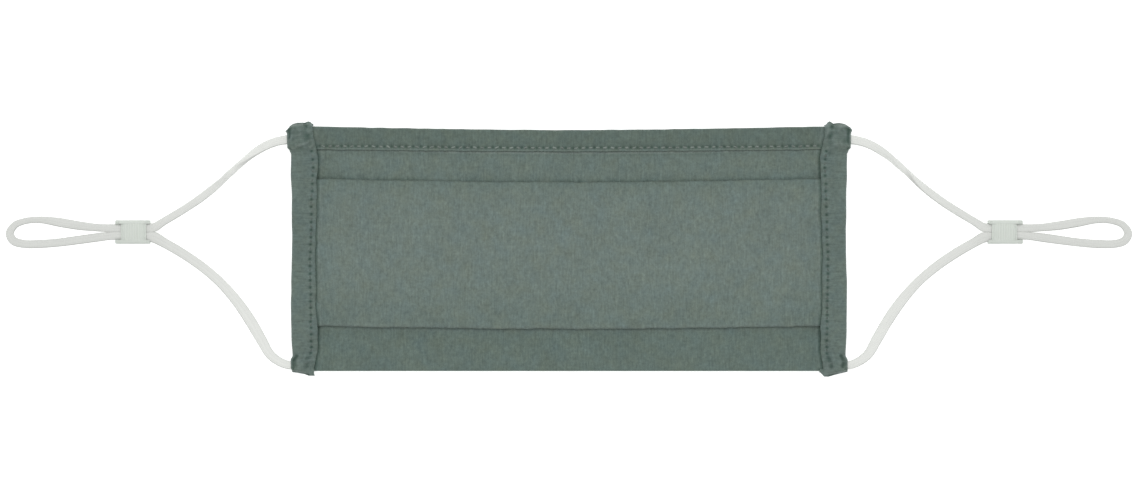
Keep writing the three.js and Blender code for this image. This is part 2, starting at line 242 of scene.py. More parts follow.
def ring_mesh(name, rings, around, along, shade, close_rows=False):
    """A closed mesh through rings of points (rows, points, 3) in millimetres.

    around and along give each point's place on the cloth, for its weave. An open row of rings is
    capped at both ends by a strip between each ring's first half and its second.
    """
    rows, count = rings.shape[:2]
    row = np.arange(rows if close_rows else rows - 1)[:, None]
    step = np.arange(count)[None, :]
    corners = [(row, step), (row, step + 1), (row + 1, step + 1), (row + 1, step)]
    faces = np.stack([(r % rows) * count + s % count for r, s in corners], -1).reshape(-1, 4)
    uv = np.stack(
        [np.stack(np.broadcast_arrays(along[r], around[s]), -1) for r, s in corners], 2
    ).reshape(-1, 2)
    if not close_rows:
        half = np.arange(count // 2 - 1)
        for start in (0, (rows - 1) * count):
            cap = np.stack([half, half + 1, count - 2 - half, count - 1 - half], -1)
            faces = np.concatenate([faces, cap + start])
            cap_uv = np.stack([np.full(cap.shape, along[start // count]), around[cap]], -1)
            uv = np.concatenate([uv, cap_uv.reshape(-1, 2)])
    mesh = bpy.data.meshes.new(name)
    mesh.from_pydata((rings.reshape(-1, 3) * MM).tolist(), [], faces.tolist())
    mesh.uv_layers.new(name="cloth").data.foreach_set("uv", uv.astype(np.float32).ravel())
    mesh.attributes.new("shade", "FLOAT", "POINT").data.foreach_set(
        "value", shade.astype(np.float32).ravel()
    )
    return finished(name, mesh)


def placed(name, data):
    thing = bpy.data.objects.new(name, data)
    bpy.context.scene.collection.objects.link(thing)
    return thing


def finished(name, mesh):
    """An object in the scene with smooth faces that point outwards."""
    work = bmesh.new()
    work.from_mesh(mesh)
    bmesh.ops.recalc_face_normals(work, faces=work.faces)
    work.to_mesh(mesh)
    work.free()
    mesh.polygons.foreach_set("use_smooth", [True] * len(mesh.polygons))
    return placed(name, mesh)


def dress(thing, node, material):
    """Its material and slot, and the CAD node it stands for."""
    thing.data.materials.append(material)
    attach(thing, "root")
    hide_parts(node)


def cloth_mesh(name, points, along, skin, node, material):
    """A strip of cloth whose outer skin has these shades, in the place of a CAD node."""
    shade = np.ones(points.shape[:2])
    shade[:, : skin.shape[1]] = skin
    around = around_ring(points[len(points) // 2])
    thing = ring_mesh(name, points, around, along[:, 0], shade)
    dress(thing, node, material)
    return thing


def lengths_along(points):
    """Distance along a line of points, from its first."""
    steps = np.linalg.norm(np.diff(points, axis=0), axis=1)
    return np.concatenate([[0], np.cumsum(steps)])


def around_ring(ring):
    """Distance round a closed ring, with its whole length as the last value."""
    return lengths_along(np.concatenate([ring, ring[:1]]))


EDGE_STEPS = 3


def shell_rings(path, above, below):
    """Closed sections: skins above and below paths (rows, points, 2) and a round edge between."""
    above = np.broadcast_to(above, path.shape[:2])[..., None]
    tangent = np.gradient(path, axis=1)
    tangent /= np.linalg.norm(tangent, axis=2, keepdims=True)
    outwards = np.stack([tangent[..., 1], -tangent[..., 0]], -1)
    outer = path + above * outwards
    inner = path - below * outwards
    angles = np.pi * (np.arange(2 * EDGE_STEPS) + 1) / (2 * EDGE_STEPS + 1)
    middle = (outer[:, -1:] + inner[:, -1:]) / 2
    half = (above[:, -1:] + below) / 2
    spread = np.cos(angles)[None, :, None] * half * outwards[:, -1:]
    bulge = np.sin(angles)[None, :, None] * half * tangent[:, -1:]
    return np.concatenate([outer, middle + spread + bulge, inner[:, ::-1]], axis=1)


def across_mask(x, rings):
    """Sections in height and lift, set at their places across the mask."""
    return np.concatenate([np.broadcast_to(x[..., None], rings.shape[:2] + (1,)), rings], -1)


# Materials


# How a hue moves red, green and blue, and how fast each darkens under painted shade
HUE_SHIFT = np.array([0.08, 0, -0.12])
SHADE_POWERS = (1.3, 1, 1.13)


class Nodes:
    """A short way to write a node tree."""

    def __init__(self, name):
        self.material = bpy.data.materials.new(name)
        self.material.use_nodes = True
        self.tree = self.material.node_tree
        self.shader = self.tree.nodes["Principled BSDF"]

    def add(self, kind, settings=(), **inputs):
        node = self.tree.nodes.new("ShaderNode" + kind)
        for key, value in dict(settings).items():
            setattr(node, key, value)
        for key, value in inputs.items():
            self.plug(node.inputs[key.replace("_", " ")], value)
        return node

    def plug(self, socket, value):
        if isinstance(value, bpy.types.NodeSocket):
            self.tree.links.new(value, socket)
        else:
            socket.default_value = value

    def math(self, operation, *values, kind="Math"):
        node = self.add(kind, {"operation": operation})
        for socket, value in zip(node.inputs, values):
            self.plug(socket, value)
        return node.outputs[0]

    def noise(self, vector, scale, detail=2, roughness=0.5):
        looks = {"Vector": vector, "Scale": scale, "Detail": detail, "Roughness": roughness}
        return self.add("TexNoise", **looks).outputs["Fac"]

    def cells(self, place, across, along, **looks):
        node = self.add("Mapping", Vector=place, Scale=(1 / across, 1 / along, 1))
        return self.noise(node.outputs["Vector"], 1, **looks)

    def around_one(self, value, strength):
        """A value from 0 to 1 turned into a factor that varies round one."""
        return self.math("MULTIPLY_ADD", value, 2 * strength, 1 - strength)

    def tint(self, colour, *factors, hue=(0.5, 0.5, 0.5), depth=1):
        """A colour times every factor, on the shader's base colour.

        A hue from 0 to 1 goes cooler to warmer. A depth below 1, painted shade, is darker and
        greener.
        """
        total = factors[0]
        for factor in factors[1:]:
            total = self.math("MULTIPLY", total, factor)
        base = np.array(linear(colour)[:3])
        shift = base * HUE_SHIFT
        warm = self.math("MULTIPLY_ADD", hue, 2 * shift, base - shift, kind="VectorMath")
        deep = self.add("CombineXYZ")
        for socket, power in zip(deep.inputs, SHADE_POWERS):
            self.plug(socket, self.math("POWER", depth, power))
        for factor in (total, deep.outputs[0]):
            warm = self.math("MULTIPLY", warm, factor, kind="VectorMath")
        self.plug(self.shader.inputs["Base Color"], warm)

    def bump(self, height, distance, strength=1):
        node = self.add("Bump", Height=height, Distance=distance * MM, Strength=strength)
        self.plug(self.shader.inputs["Normal"], node.outputs[0])

    def finish(self, **values):
        for key, value in values.items():
            self.shader.inputs[key.replace("_", " ")].default_value = value
        return self.material


# Pitches of threads and knit, and how uneven the cloth's dye is
THREAD_PITCH = 0.3
PLY_PITCH = 0.75
PLY_SLANT = 0.55
KNIT_LOOP = 0.62
KNIT_CORD = 0.6
SLUB = 0.26
SPECKLE = 0.34
FLECK = 0.187
CLOUD = 0.1
SWAY = {"X": 13.2, "Y": 10.2}


def cloth_place(nodes):
    """The place on the cloth, its two coordinates and the shade there."""
    place = nodes.add("UVMap", {"uv_map": "cloth"}).outputs["UV"]
    parts = nodes.add("SeparateXYZ", Vector=place).outputs
    return place, parts, shade_there(nodes)


def shade_there(nodes):
    return nodes.add("Attribute", {"attribute_name": "shade"}).outputs["Fac"]


def cotton(name, colour):
    """Plain-woven cotton with uneven threads, slubs that run down the mask and an uneven dye."""
    nodes = Nodes(name)
    place, parts, shade = cloth_place(nodes)
    wander = nodes.cells(place, 2.4, 2.4)
    waves = []
    for axis, sway in SWAY.items():
        turn = nodes.math("MULTIPLY", parts[axis], math.pi / THREAD_PITCH)
        waves.append(nodes.math("SINE", nodes.math("MULTIPLY_ADD", wander, sway, turn)))
    weave = nodes.math("MULTIPLY", *waves)
    slubs = nodes.cells(place, 0.6, 4.5, roughness=0.6)
    grain = nodes.cells(place, 1.05, 1.15, roughness=0.75)
    flecks = nodes.cells(place, 2.3, 2.8)
    clouds = nodes.cells(place, 13, 16)
    hue = nodes.cells(place, 7, 7, detail=3, roughness=0.6)
    # The shade attribute, painted shade and painted light, darkens the cloth and turns it greener
    nodes.tint(
        colour,
        nodes.around_one(slubs, SLUB),
        nodes.around_one(grain, SPECKLE),
        nodes.around_one(flecks, FLECK),
        nodes.around_one(clouds, CLOUD),
        nodes.math("MULTIPLY_ADD", weave, 0.04, 1),
        hue=hue,
        depth=shade,
    )
    thickness = nodes.math("MULTIPLY_ADD", slubs, 0.6, nodes.math("MULTIPLY", weave, 0.3))
    fuzz = nodes.math("MULTIPLY_ADD", grain, 0.5, thickness)
    nodes.bump(fuzz, 0.12, 0.7)
    return nodes.finish(Roughness=0.92, Specular_IOR_Level=0.18, Sheen_Weight=0.12)


def thread(name, colour):
    """Sewing thread: two plies that wind round each other."""
    nodes = Nodes(name)
    place, parts, shade = cloth_place(nodes)
    turn = nodes.math("MULTIPLY", parts["X"], TURN / PLY_SLANT)
    winding = nodes.math("MULTIPLY_ADD", parts["Y"], TURN / PLY_PITCH, turn)
    plies = nodes.math("ABSOLUTE", nodes.math("SINE", winding))
    grain = nodes.cells(place, 0.3, 0.3)
    nodes.tint(colour, shade, nodes.around_one(plies, 0.1), nodes.around_one(grain, 0.08))
    nodes.bump(plies, 0.08)
    return nodes.finish(Roughness=0.7, Specular_IOR_Level=0.3, Sheen_Weight=0.1)


def elastic(name):
    """Soft knitted elastic: lengthwise cords crossed by small knit loops."""
    nodes = Nodes(name)
    place, parts, shade = cloth_place(nodes)
    sway = nodes.cells(place, 1.5, 1.5, detail=1)
    along = nodes.math("MULTIPLY", parts["X"], TURN / KNIT_LOOP)
    across = nodes.math("MULTIPLY", parts["Y"], TURN / KNIT_CORD)
    loops = nodes.math("SINE", nodes.math("MULTIPLY_ADD", sway, 2.5, along))
    cords = nodes.math("SINE", across)
    knit = nodes.math("MULTIPLY_ADD", loops, 0.5, nodes.math("MULTIPLY", cords, 0.5))
    clouds = nodes.cells(place, 5, 2.5)
    fuzz = nodes.cells(place, 0.4, 0.3)
    nodes.tint(
        ELASTIC_COLOUR,
        shade,
        nodes.math("MULTIPLY_ADD", knit, 0.02, 1),
        nodes.around_one(clouds, 0.03),
        nodes.around_one(fuzz, 0.05),
    )
    nodes.bump(nodes.math("MULTIPLY_ADD", fuzz, 0.4, knit), 0.06)
    return nodes.finish(Roughness=0.8, Specular_IOR_Level=0.2, Sheen_Weight=0.15)


def silicone(name):
    """Milky moulded silicone with a satin skin and faint flow marks."""
    nodes = Nodes(name)
    place = nodes.add("TexCoord").outputs["Object"]
    mottle = nodes.noise(place, 1 / (2.2 * MM))
    skin = nodes.noise(place, 1 / (0.25 * MM))
    mottled = nodes.around_one(mottle, 0.025)
    nodes.tint(SILICONE_COLOUR, shade_there(nodes), mottled, nodes.around_one(skin, 0.012))
    nodes.bump(skin, 0.015)
    satin = nodes.math("MULTIPLY_ADD", mottle, 0.14, 0.34)
    nodes.plug(nodes.shader.inputs["Roughness"], satin)
    return nodes.finish(
        Specular_IOR_Level=0.4,
        Subsurface_Weight=0.2,
        Subsurface_Radius=(1, 1, 1),
        Subsurface_Scale=MM,
        Coat_Weight=0.05,
        Coat_Roughness=0.3,
    )


def paper(name):
    nodes = Nodes(name)
    place = nodes.add("TexCoord").outputs["Object"]
    nodes.tint(FLOOR_COLOUR, nodes.around_one(nodes.noise(place, 9), 0.004))
    return nodes.finish(
        Roughness=0.95,
        Specular_IOR_Level=0.05,
        Emission_Color=(1, 1, 1, 1),
        Emission_Strength=FLOOR_GLOW,
    )


# Camera, light and floor


def add_camera():
    data = bpy.data.cameras.new("camera")
    data.lens = LENS
    data.sensor_width = SENSOR_WIDTH
    data.clip_start = CLIP_START_M
    camera = placed("camera", data)
    distance = PHOTO_WIDTH * MM_PER_PIXEL * LENS / SENSOR_WIDTH
    camera.location = Vector((*FRAME_CENTRE, distance + FRONT_LIFT)) * MM
    bpy.context.scene.camera = camera


def add_surroundings():
    scene = bpy.context.scene
    scene.view_settings.view_transform = "Standard"
    scene.world = bpy.data.worlds.new("studio")
    scene.world.use_nodes = True
    background = scene.world.node_tree.nodes["Background"]
    background.inputs["Color"].default_value = (1, 1, 1, 1)
    background.inputs["Strength"].default_value = WORLD_STRENGTH
    for name, place, size, power in LAMPS:
        data = bpy.data.lights.new(name, "AREA")
        data.size, data.energy = size, power
        lamp = placed(name, data)
        lamp.location = place
        lamp.rotation_euler = (-Vector(place)).to_track_quat("-Z", "Y").to_euler()
    mesh = bpy.data.meshes.new("floor")
    signs = ((-1, -1), (1, -1), (1, 1), (-1, 1))
    corners = [(x * FLOOR_HALF_M, y * FLOOR_HALF_M, 0) for x, y in signs]
    mesh.from_pydata(corners, [], [(0, 1, 2, 3)])
    floor = placed("floor", mesh)
    floor.location.z = -FLOOR_DROP * MM
    floor.data.materials.append(paper("floor_paper"))


# Ear loops


def between(place, start, end, first, last):
    """First at start, last at end, and in proportion anywhere else."""
    return ((end - place) * first + (place - start) * last) / (end - start)


POINTS_BETWEEN = 24


def through(points, spacing):
    """A smooth line through the points, with equal steps of about this length."""
    ends = np.array([2 * points[0] - points[1], *points, 2 * points[-1] - points[-2]])
    line = []
    for p0, p1, p2, p3 in zip(ends, ends[1:], ends[2:], ends[3:]):
        t1 = math.sqrt(np.linalg.norm((p1 - p0)[:3]))
        t2 = t1 + math.sqrt(np.linalg.norm((p2 - p1)[:3]))
        t3 = t2 + math.sqrt(np.linalg.norm((p3 - p2)[:3]))
        place = np.linspace(t1, t2, POINTS_BETWEEN, endpoint=False)[:, None]
        first = between(place, 0, t1, p0, p1)
        second = between(place, t1, t2, p1, p2)
        third = between(place, t2, t3, p2, p3)
        early = between(place, 0, t2, first, second)
        late = between(place, t1, t3, second, third)
        line.extend(between(place, t1, t2, early, late))
    line = np.array([*line, points[-1]])
    far = lengths_along(line[:, :3])
    even = np.linspace(0, far[-1], round(far[-1] / spacing) + 1)
    return np.stack([np.interp(even, far, column) for column in line.T], 1)


# The half twist in each upper strand: where it stands on its edge, its reach and its section
TWIST_POINT = (120.7, 28.9)
TWIST_SPAN = 16
TWIST_WIDTH = 2.45
TWIST_THICKNESS = 2.4

# The elastic's section, and how it rolls and varies along the loop
LOOP_STEP = 0.5
SECTION_POINTS = 36
SECTION_POWERS = (0.62, 0.8)
DRIFT_LENGTH = 26
DRIFT_WAVES = 10
ROLL_DRIFT = 0.05
WIDTH_DRIFT = 0.012
TWIST_LIFT = 0.05
LEAST_LIFT = 0.02

# The elastic's shades below are painted light and painted shade
# How light the elastic is at distances outwards, and how dark its lower and upper edges are
ELASTIC_SHADE = [
    (100, 1.05), (113, 1.06), (124, 1.03), (135, 1), (145, 0.975), (151, 0.93), (203, 0.93),
]
EDGE_FROM = 0.75
EDGE_FACING = 1.3
LOWER_EDGE_SHADE = 0.32
UPPER_EDGE_SHADE = 0.08

# Where the two strands touch: the height between them, and where they meet and part
STRANDS_MIDDLE = 6.2
STRANDS_MEET = (147, 150)
STRANDS_PART = (168, 174)


def make_ear_loop(hand, side, seed):
    route = through(np.array(LOOP_ROUTE) * (side, 1, 1, 1), LOOP_STEP)
    line = route[:, :3]
    far = lengths_along(line)
    to_twist = np.linalg.norm(line[:, :2] - np.array(TWIST_POINT) * (side, 1), axis=1)
    from_twist = far - far[to_twist.argmin()]
    turned = smooth(-TWIST_SPAN, TWIST_SPAN, from_twist)
    on_edge = np.sin(math.pi * turned) ** 2
    drift = ripples(seed, DRIFT_LENGTH, 1, DRIFT_WAVES)(far, 0)
    roll = math.pi * turned + ROLL_DRIFT * drift
    width = route[:, 3] * (1 + WIDTH_DRIFT * drift)
    width += (TWIST_WIDTH - width) * on_edge
    thickness = ELASTIC_THICKNESS + (TWIST_THICKNESS - ELASTIC_THICKNESS) * on_edge
    lift = np.maximum(0, width / 2 * on_edge + TWIST_LIFT - line[:, 2])

    angle = TURN * (np.arange(SECTION_POINTS) + 0.5) / SECTION_POINTS - math.pi / 2
    across = bulged(np.cos(angle), SECTION_POWERS[0])
    height = bulged(np.sin(angle), SECTION_POWERS[1])
    tangent = np.gradient(line, axis=0)
    tangent /= np.linalg.norm(tangent, axis=1, keepdims=True)
    level = np.cross((0, 0, 1), tangent)
    level /= np.linalg.norm(level, axis=1, keepdims=True)
    upright = np.cross(tangent, level)
    turn, rise = np.cos(roll)[:, None], np.sin(roll)[:, None]
    wide = level * turn + upright * rise
    thin = upright * turn - level * rise
    middle = line + np.stack([0 * lift, 0 * lift, lift], 1)
    rings = (
        middle[:, None]
        + wide[:, None] * (width[:, None] / 2 * across)[..., None]
        + thin[:, None] * (thickness[:, None] / 2 * height)[..., None]
    )
    rings[..., 2] = np.maximum(rings[..., 2], LEAST_LIFT)

    # Painted shade on the edges, and painted light and shade along the loop
    edge = smooth(EDGE_FROM, 1, np.abs(across))
    facing = np.clip(EDGE_FACING * wide[:, 1:2] * across, -1, 1)
    outwards = np.abs(line[:, :1])
    upper = line[:, 1:2] > STRANDS_MIDDLE
    apart = 1 - smooth(*STRANDS_MEET, outwards) + smooth(*STRANDS_PART, outwards)
    touching = upper * (1 - apart)
    darkness = np.where(facing < 0, LOWER_EDGE_SHADE * (1 - touching), UPPER_EDGE_SHADE)
    shade = joined(outwards, ELASTIC_SHADE) * (1 - edge * darkness * np.abs(facing))
    around = around_ring(rings[len(rings) // 8])
    loop = ring_mesh(f"{hand}_elastic", rings, around, far, shade)
    knit = elastic(f"{hand}_elastic_knit")
    dress(loop, f"{hand}_ear_loop", knit)
    return loop, middle * MM, far[-1] * MM


# Adjusters

RIB_COUNT = 7
RIB_PITCH = 1.25
RIB_RELIEF = 0.14
RIB_SIDES = (0.1, 0.7)
SPREAD = 0.22
SIDE_WALL = 1.05
FACE_WALL = 1.3
SLOT_NARROWING = 0.32
OUTER_SQUARE = 10
SLOT_SQUARE = 40
MOUTH_RADIUS = 0.22

# Sections of the face, the slot and a quarter of a mouth's rim, and points in each
FACE_SECTIONS = 116
SLOT_SECTIONS = 12
MOUTH_SECTIONS = 4
RING_POINTS = 88

# How far the ribbed face stops short of the side walls, the angles of its sides from straight up
# and how the upper side drops towards both mouths
INNER_OPENING = 1.2
OUTER_OPENING = 2.1
FACE_ANGLES = (math.radians(8.5), math.radians(13))
END_DROP = 0.95
DROP_FROM = 0.7

# The silicone's shades below are painted shade
# How much darker the silicone is towards its lower side, on side walls and on their rims
SLIDER_LOWER_SIDE_SHADE = 0.03
SIDE_WALL_SHADE = 0.045
SLIDER_RIM = (0.93, 1)
LOWER_RIM_SHADE = 0.22
UPPER_RIM_SHADE = 0.18


def slider_stations(half_length, half_width, half_height):
    """Sections along the outside, round a mouth, through the slot and round the other mouth.

    Each has its place, half width, half height, depth between two ribs and how square it is.
    """
    ribs_end = RIB_COUNT * RIB_PITCH / 2
    straight = half_length - MOUTH_RADIUS
    places = np.linspace(-straight, straight, FACE_SECTIONS)
    ribs = 0.5 - 0.5 * np.cos(TURN * (places + ribs_end) / RIB_PITCH)
    depth = RIB_RELIEF * np.where(np.abs(places) < ribs_end, 1 - smooth(*RIB_SIDES, ribs), 0)
    slot_width, slot_height = half_width - SIDE_WALL, half_height - FACE_WALL
    outside = [(x, half_width, half_height, d, OUTER_SQUARE) for x, d in zip(places, depth)]
    slot = (slot_width, slot_height, 0, SLOT_SQUARE)
    inside = [(x, *slot) for x in np.linspace(straight, -straight, SLOT_SECTIONS)]
    angles = math.pi / 2 * np.arange(1, MOUTH_SECTIONS + 1) / MOUTH_SECTIONS
    mouths = []
    for end in (1, -1):
        outer, inner = [], []
        for angle in angles:
            x = end * (half_length - MOUTH_RADIUS * (1 - math.sin(angle)))
            inset = MOUTH_RADIUS * (1 - math.cos(angle))
            outer.append((x, half_width - inset, half_height - inset, 0, OUTER_SQUARE))
            inner.append((x, slot_width + inset, slot_height + inset, 0, SLOT_SQUARE))
        mouths.append(outer + inner[::-1])
    return np.array([*outside, *mouths[0], *inside, *mouths[1][::-1]])


def make_slider(hand, side):
    low, high = corner_pair(f"{hand}_adjuster")
    half, centre = (high - low) / 2 + (0, SPREAD, 0), (high + low) / 2
    place, width, height, depth, square = (slider_stations(*half).T)[..., None]
    outwards = place / half[0]
    angle = TURN * np.arange(RING_POINTS) / RING_POINTS
    across = bulged(np.cos(angle), 2 / square)
    upwards = bulged(np.sin(angle), 2 / square)
    on_face = 1 - smooth(*FACE_ANGLES, np.abs(angle - math.pi / 2))
    shortening = (INNER_OPENING + OUTER_OPENING) / 2 * outwards
    shortening = shortening + side * (OUTER_OPENING - INNER_OPENING) / 2
    in_wall = (height - half[2] + FACE_WALL) / FACE_WALL
    drop = END_DROP * in_wall * smooth(DROP_FROM, 1, np.abs(outwards))
    width = width - SLOT_NARROWING * (1 - in_wall) * smooth(-1, 1, side * outwards)
    height = height - on_face * depth - smooth(0, 0.5, upwards) * drop
    rings = np.stack([place - on_face * shortening, width * across, height * upwards], -1)
    rings = rings + centre
    around = around_ring(rings[len(rings) // 4])
    along = np.concatenate([place[:, 0], place[:1, 0]])
    # Painted shade towards the lower side, on the side walls and on the rims
    rim = smooth(*SLIDER_RIM, np.abs(across))
    shade = 1 - SLIDER_LOWER_SIDE_SHADE * smooth(-1, 1, -across) - SIDE_WALL_SHADE * (1 - on_face)
    shade = shade - rim * np.where(across < 0, LOWER_RIM_SHADE, UPPER_RIM_SHADE)
    slider = ring_mesh(f"{hand}_slider", rings, around, along, shade, close_rows=True)
    skin = silicone(f"{hand}_slider_silicone")
    dress(slider, f"{hand}_adjuster", skin)
    return slider


def make_both_ear_loops():
    for hand, side, seed in (("left", -1, 11), ("right", 1, 12)):
        slider = make_slider(hand, side)
        loop, line, length = make_ear_loop(hand, side, seed)


# Pleated panel

# The sheet's folds, and the spacing of its points where it shows and where a pleat hides it
FOLD_RADIUS = LAYER_STEP / 2
FOLD_STEPS = 8
HIDDEN_FROM = 1.5
SHEET_STEP = 0.8
HIDDEN_STEP = 2.4


def sheet_runs():
    """The sheet from the nose edge down: each run's ends, layer, sag at both ends and spacing."""
    bend = FOLD_RADIUS + WALL / 2
    upper_hidden = UPPER_PLEAT - HIDDEN_FROM
    lower_hidden = LOWER_PLEAT + HIDDEN_FROM
    upper, lower = UPPER_PLEAT_SAG, LOWER_PLEAT_SAG
    return [
        (panel_high[1], upper_hidden, 0, TOP_SAG, upper, SHEET_STEP),
        (upper_hidden, UPPER_TUCK + bend, 0, upper, upper, HIDDEN_STEP),
        (UPPER_TUCK + bend, UPPER_PLEAT - bend, 1, upper, upper, HIDDEN_STEP),
        (UPPER_PLEAT - bend, LOWER_PLEAT + bend, 2, upper, lower, SHEET_STEP),
        (LOWER_PLEAT + bend, LOWER_TUCK - bend, 1, lower, lower, HIDDEN_STEP),
        (LOWER_TUCK - bend, lower_hidden, 0, lower, lower, HIDDEN_STEP),
        (lower_hidden, BOTTOM_EDGE + WALL / 2, 0, lower, 0, SHEET_STEP),
    ]


def sheet_line():
    """The sheet's middle line with no sag: height, lift, sag and layer of each point."""
    rows = []
    for start, end, layer, sag_start, sag_end, spacing in sheet_runs():
        lift = layer * LAYER_STEP + WALL / 2
        folded = rows and layer != rows[-1][3]
        if folded:
            fold_height, fold_lift = rows[-1][:2]
            way = math.copysign(1, fold_height - rows[-2][0])
            for angle in np.linspace(0, math.pi, FOLD_STEPS + 1)[1:-1]:
                height = fold_height + way * FOLD_RADIUS * math.sin(angle)
                rise = (lift - fold_lift) * (1 - math.cos(angle)) / 2
                rows.append((height, fold_lift + rise, sag_start, layer))
        shares = np.linspace(0, 1, max(2, round(abs(end - start) / spacing)) + 1)
        if rows and not folded:
            shares = shares[1:]
        for share in shares:
            sag = sag_start + (sag_end - sag_start) * share
            rows.append((start + (end - start) * share, lift, sag, layer))
    return np.array(rows).T


def sag_share(x):
    """How much of each sag is left at x: all in the middle, none beside the side hems."""
    return (1 - np.clip(np.abs(x) / PANEL_END, 0, 1) ** 2) ** SAG_POWER


def centre_share(height):
    """How much of the centre panel's dip there is at a height."""
    down = np.clip((UPPER_TUCK - height) / (UPPER_TUCK - LOWER_TUCK), 0, 1)
    return np.sin(math.pi * down) ** DIP_POWER


def side_inner(hand, y):
    return SIDE_INNER + eased(y, SIDE_NARROWING[hand])


# Painted shadow along the seams beside the side hems, and painted light on the cloth just inside
SEAM_SHADE = 0.42
SEAM_WIDTH = 0.65
SEAM_LIGHT = 0.2
SEAM_LIGHT_WIDTH = 1.5

# Painted shade: the strips' darker tones, and soft painted shades with their lengths
UPPER_STRIP_SHADE = 0.905
LOWER_STRIP_SHADE = 0.84
BESIDE_HEM_SHADE = (0.08, 4)
UNDER_PLEAT_SHADE = (0.08, 2)
CENTRE_FALL_SHADE = {"height": 3, "reach": 28, "shade": 0.08}

# Painted shade and light in lines across the sheet: distance from edge, width, how much lighter
SHADE_LINES = {
    "crease": (0.3, 0.65, -0.08),
    "below_pleat": (-0.5, 0.6, 0.16),
    "hem_lip": (0.15, 0.4, 0.26),
    "hem_shadow": (0.8, 0.5, -0.07),
    "bottom_rim": (0, 0.5, -0.12),
    "pleat_lip": (0, 1.1, 0.14),
}


def shade_line(name, distance, uneven=0):
    """A line's factor at distances from its edge."""
    at, width, gain = SHADE_LINES[name]
    return 1 + (gain - uneven) * band(distance - at, width)


# Painted shadow along each seam beside a side hem, and painted light just inside it
def seam_shade(x, y, strength=1):
    inner = np.where(x < 0, side_inner("left", y), side_inner("right", y))
    gap = np.maximum(inner - np.abs(x), 0)
    dark = strength * SEAM_SHADE * band(gap, SEAM_WIDTH)
    return (1 - dark) * (1 + SEAM_LIGHT * band(gap, SEAM_LIGHT_WIDTH, 4))


# Painted shade and painted light over the sheet
def sheet_shade(x, y, height, layer):
    crease = shade_line("crease", height - UPPER_PLEAT, wave("crease", x, 0))
    strip = np.where(height > 0, UPPER_STRIP_SHADE * crease, LOWER_STRIP_SHADE)
    strip = strip * shade_line("below_pleat", height - LOWER_PLEAT)
    strip = strip * shade_line("hem_lip", hem_edge(x) - y)
    strip = strip * shade_line("hem_shadow", hem_edge(x) - y)
    strip = strip * shade_line("bottom_rim", y - BOTTOM_EDGE)
    fall = (height - CENTRE_FALL_SHADE["height"]) / CENTRE_FALL_SHADE["reach"]
    strength, length = UNDER_PLEAT_SHADE
    centre = 1 - CENTRE_FALL_SHADE["shade"] * fall**2
    centre = centre * (1 - strength * fade(np.maximum(UPPER_PLEAT - height, 0), length))
    centre = centre * shade_line("pleat_lip", height - LOWER_PLEAT)
    strength, length = BESIDE_HEM_SHADE
    beside_hem = 1 - strength * fade(np.maximum(SIDE_INNER - np.abs(x), 0), length)
    return np.where(layer == 0, strip, centre) * beside_hem * seam_shade(x, y)


# How far the sheet's waves reach from the pleats, the side hems and the top hem
PLEAT_REACH = 3.5
SWELL_FREE = 12
PUCKER_REACH = 5
GATHER_REACH = 3

# The least swell on the centre panel, and the swell's share and offset on the strips
LEAST_SWELL = 0.35
STRIP_SWELL = (0.5, 0.12)


def make_panel():
    height, lift, sag, layer = sheet_line()
    x = np.linspace(-PANEL_END, PANEL_END, round(2 * PANEL_END / SHEET_STEP) + 1)[:, None]
    y = height - sag * sag_share(x)
    in_front = layer == 2
    on_strip = (layer == 0) & ((height > UPPER_PLEAT) | (height < LOWER_PLEAT))
    open_share = np.where(in_front, centre_share(height), 0)
    from_pleat = np.minimum(np.abs(height - UPPER_PLEAT), np.abs(height - LOWER_PLEAT))
    y = y + np.where(layer >= 1, band(from_pleat, PLEAT_REACH), 0) * wave("pleat_line", x, 0)

    inwards = SIDE_INNER - np.abs(x)
    pinned = smooth(0, SWELL_FREE, inwards)
    swell = wave("long_folds", x, y) + wave("short_folds", x, y)
    puckers = wave("puckers", x, y) * fade(np.maximum(inwards, 0), PUCKER_REACH)
    gathers = wave("hem_gathers", x, y) * fade(TOP_EDGE - HEM_HEIGHT - y, GATHER_REACH)
    centre_swell = (LEAST_SWELL + (1 - LEAST_SWELL) * open_share) * pinned * swell
    strip_swell = STRIP_SWELL[0] * (swell + STRIP_SWELL[1]) + gathers
    lifted = lift - CENTRE_DIP * open_share + np.where(in_front, centre_swell, 0)
    lifted = lifted + np.where(in_front | on_strip, puckers, 0) + np.where(on_strip, strip_swell, 0)
    lifted = np.maximum(pressed(lifted), CLOTH / 2)
    points = across_mask(x, shell_rings(np.stack([y, lifted], -1), CLOTH / 2, CLOTH / 2))
    skin = sheet_shade(x, y, height, layer)
    weave = cotton("panel_cotton_weave", PANEL_COLOUR)
    sheet = cloth_mesh("mask_cloth", points, x, skin, "pleated_panel", weave)
    length = lengths_along(np.stack([height, lift], 1))[-1]
    return sheet, (2 * PANEL_END * MM, (length + WALL / 2) * MM)


# Stitched hems

HEM_ROW_STEP = 0.34

# Points of a turned strip's section. Its looks begin FRONT_FROM points up the bend.
FOOT_STEPS = 6
BEND_STEPS = 8
FRONT_STEPS = 29
FRONT_FROM = 2

# Shares of a strip's width, and what is left of its underside's step there
UNDER_STEP = [(0.3, 1), (0.5, 0.8), (0.72, 0.3), (1, 0)]


# Rows of stitches: hole depth, groove depth and width, and reach of the gathers
STITCHED_ROWS = {"top": (0.3, 0.1, 0.75, 2.2), "side": (0.35, 0.08, 0.8, 2.4)}


def stitch_relief(x, y, holes):
    """How far the cloth is drawn in at the stitch holes, from 0 to 1."""
    drawn = np.zeros(np.broadcast(x, y).shape)
    for hole_x, hole_y in holes:
        away = ((x - hole_x) ** 2 + (y - hole_y) ** 2) / HOLE_RADIUS**2
        drawn = np.maximum(drawn, np.exp(-away))
    return drawn


